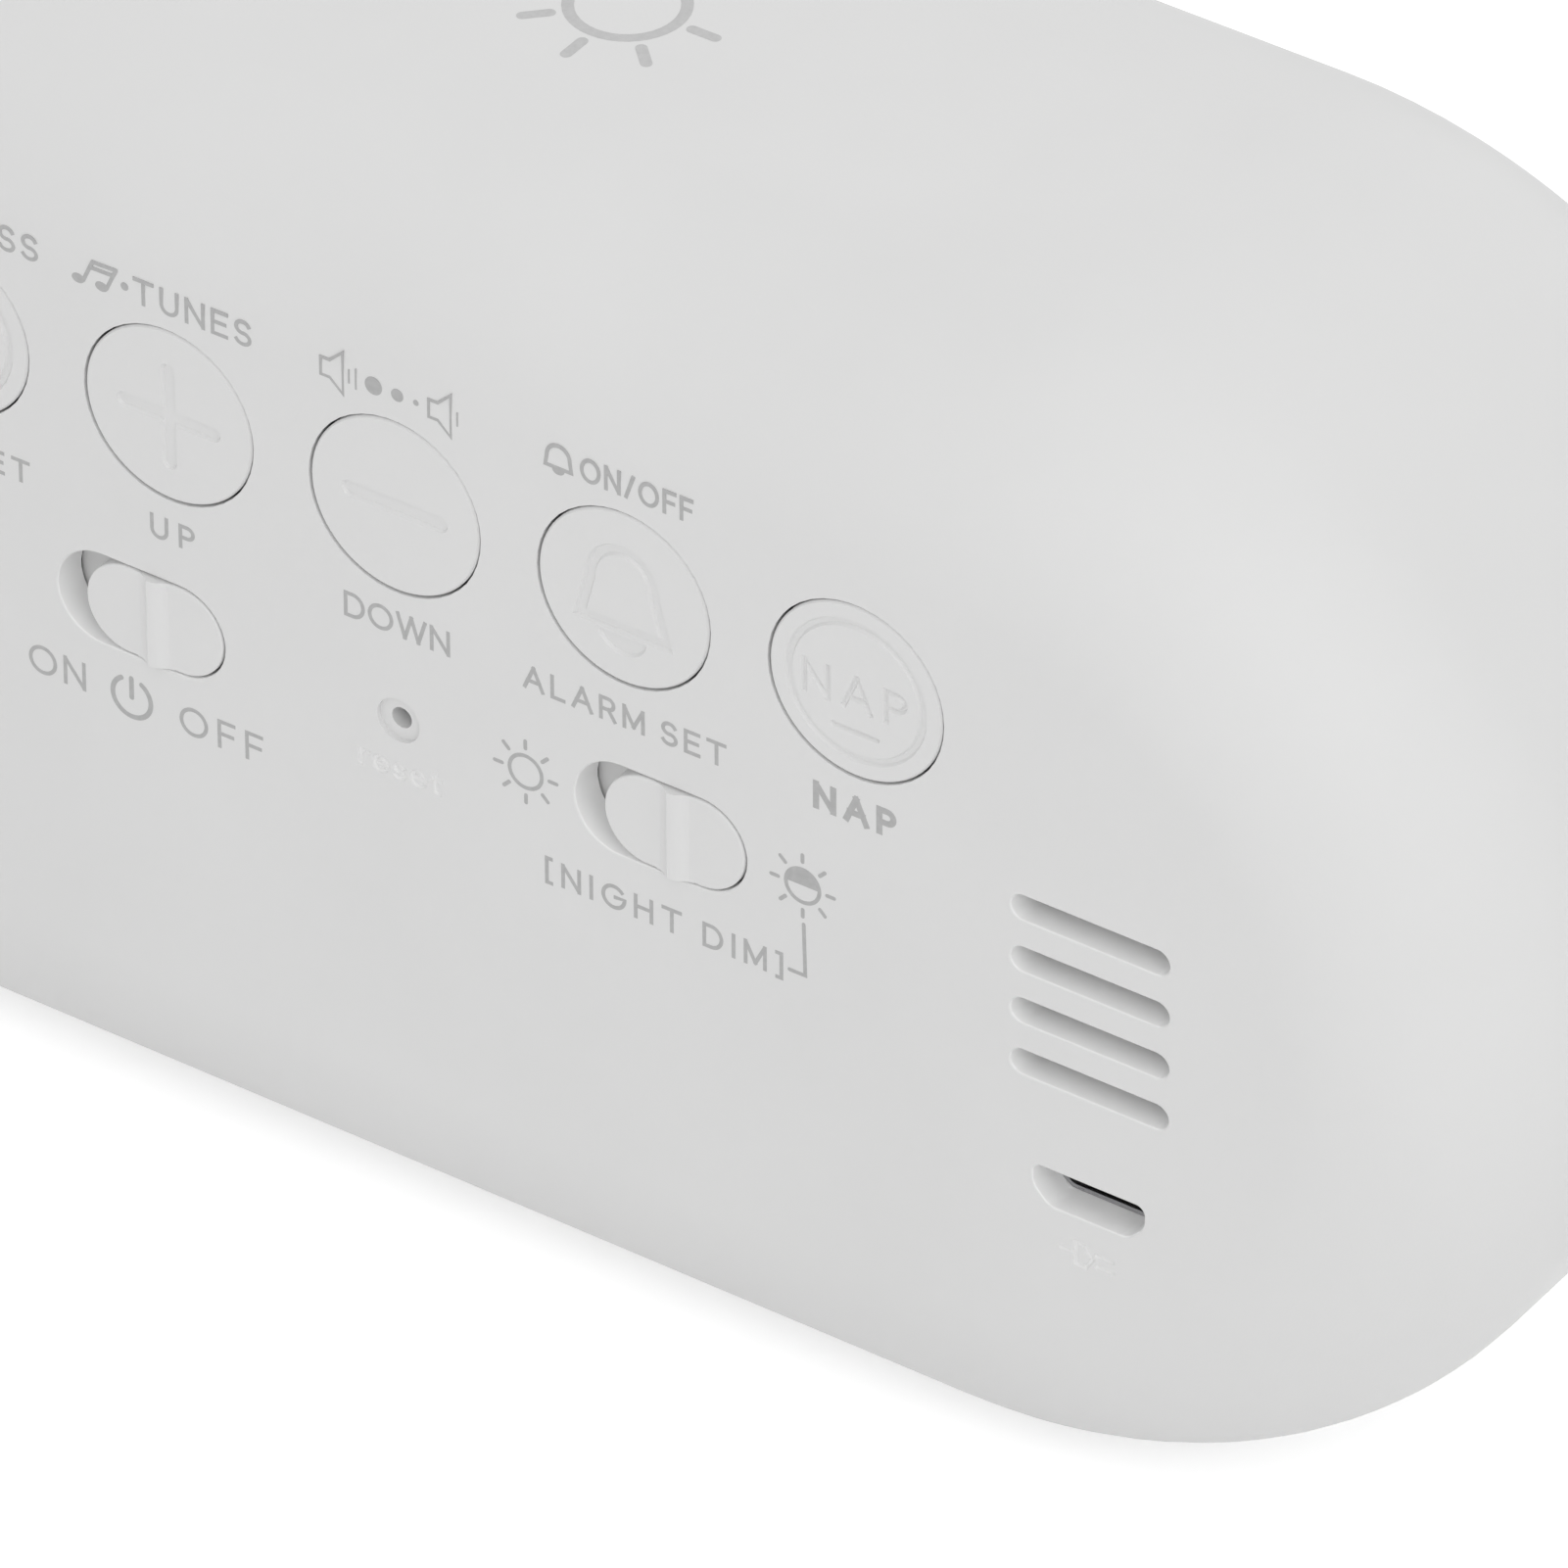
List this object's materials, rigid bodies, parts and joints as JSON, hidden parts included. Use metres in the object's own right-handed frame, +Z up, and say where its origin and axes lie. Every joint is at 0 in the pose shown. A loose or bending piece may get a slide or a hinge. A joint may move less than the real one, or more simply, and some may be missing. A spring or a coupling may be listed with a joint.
{
  "type": "night light alarm clock",
  "caption": "Pill-shaped white desk alarm clock with a night light ring round a dark display, and push buttons, slide switches, a speaker grille and a power socket on its back.",
  "frame": {"origin": "on the table, under the middle of the body", "axes": "+X to the right as seen from the display, +Y towards the control panel at the back, +Z up"},
  "size_m": [0.1546, 0.0469, 0.0796],
  "materials": {
    "shell_white": "fine matte moulded texture",
    "cap_white": "fine matte moulded texture",
    "milky_diffuser": "milky, softly see-through, satin",
    "smoked_lens": "dark, see-through, polished",
    "frame_white": "moulded satin",
    "board_green": "printed circuit board",
    "board_white": "white printed circuit board",
    "led_package": "small lamp package",
    "display_black": "matte black",
    "segment_window": "milky light windows",
    "switch_case": "moulded black",
    "switch_plunger": "moulded black",
    "switch_metal": "plated sheet steel",
    "screw_steel": "zinc-plated",
    "chip_black": "moulded epoxy",
    "usb_metal": "plated sheet steel",
    "usb_insulator": "moulded black",
    "foam_seal": "open foam",
    "speaker_basket": "pressed and painted",
    "speaker_paper": "pulp cone",
    "magnet": "plain",
    "cell_wrap": "shrink sleeve",
    "contact_nickel": "nickel strip",
    "lead_sleeve": "soft sleeve",
    "ribbon_sleeve": "flat flexible cable",
    "touch_foil": "copper foil",
    "foot_silicone": "translucent grey silicone"
  },
  "bodies": {
    "housing": {"rear_shell": "shell_white", "rubber_feet": "foot_silicone", "night_light_diffuser": "milky_diffuser", "display_lens": "smoked_lens", "front_frame": "frame_white", "light_board": "board_white", "night_light_leds": "led_package", "display_housing": "display_black", "display_segments": "segment_window", "display_board": "board_green", "display_board_screws": "screw_steel", "display_ribbon": "ribbon_sleeve", "main_board": "board_green", "main_board_screws": "screw_steel", "control_chip": "chip_black", "timing_crystal": "switch_metal", "reset_switch": "switch_case", "usb_shell": "usb_metal", "usb_tongue": "usb_insulator", "speaker_seal": "foam_seal", "speaker_frame": "speaker_basket", "speaker_cone": "speaker_paper", "speaker_magnet": "magnet", "speaker_leads": "lead_sleeve", "battery_cell": "cell_wrap", "battery_cradle": "frame_white", "cradle_screws": "screw_steel", "battery_contacts": "contact_nickel", "battery_leads": "lead_sleeve", "touch_pad": "touch_foil", "touch_lead": "lead_sleeve", "button_switches": "switch_case", "slide_switches": "switch_metal"},
    "time_key": {"time_button": "cap_white", "time_plunger": "switch_plunger"},
    "up_key": {"up_button": "cap_white", "up_plunger": "switch_plunger"},
    "down_key": {"down_button": "cap_white", "down_plunger": "switch_plunger"},
    "alarm_key": {"alarm_button": "cap_white", "alarm_plunger": "switch_plunger"},
    "nap_key": {"nap_button": "cap_white", "nap_plunger": "switch_plunger"},
    "reset_key": {"reset_plunger": "switch_plunger"},
    "power_slide": {"power_knob": "cap_white", "power_lever": "switch_plunger"},
    "dimmer_slide": {"dimmer_knob": "cap_white", "dimmer_lever": "switch_plunger"}
  },
  "joints": [
    {"name": "time_press", "type": "slide", "parent": "housing", "child": "time_key", "axis": [0, -1, 0], "range_m": [0, 0.0005], "stiffness_N_per_m": 3000},
    {"name": "up_press", "type": "slide", "parent": "housing", "child": "up_key", "axis": [0, -1, 0], "range_m": [0, 0.0005], "stiffness_N_per_m": 3000},
    {"name": "down_press", "type": "slide", "parent": "housing", "child": "down_key", "axis": [0, -1, 0], "range_m": [0, 0.0005], "stiffness_N_per_m": 3000},
    {"name": "alarm_press", "type": "slide", "parent": "housing", "child": "alarm_key", "axis": [0, -1, 0], "range_m": [0, 0.0005], "stiffness_N_per_m": 3000},
    {"name": "nap_press", "type": "slide", "parent": "housing", "child": "nap_key", "axis": [0, -1, 0], "range_m": [0, 0.0005], "stiffness_N_per_m": 3000},
    {"name": "reset_press", "type": "slide", "parent": "housing", "child": "reset_key", "axis": [0, -1, 0], "range_m": [0, 0.00025], "stiffness_N_per_m": 5000},
    {"name": "power_shift", "type": "slide", "parent": "housing", "child": "power_slide", "axis": [1, 0, 0], "range_m": [0, 0.002]},
    {"name": "dimmer_shift", "type": "slide", "parent": "housing", "child": "dimmer_slide", "axis": [1, 0, 0], "range_m": [0, 0.002]}
  ]
}
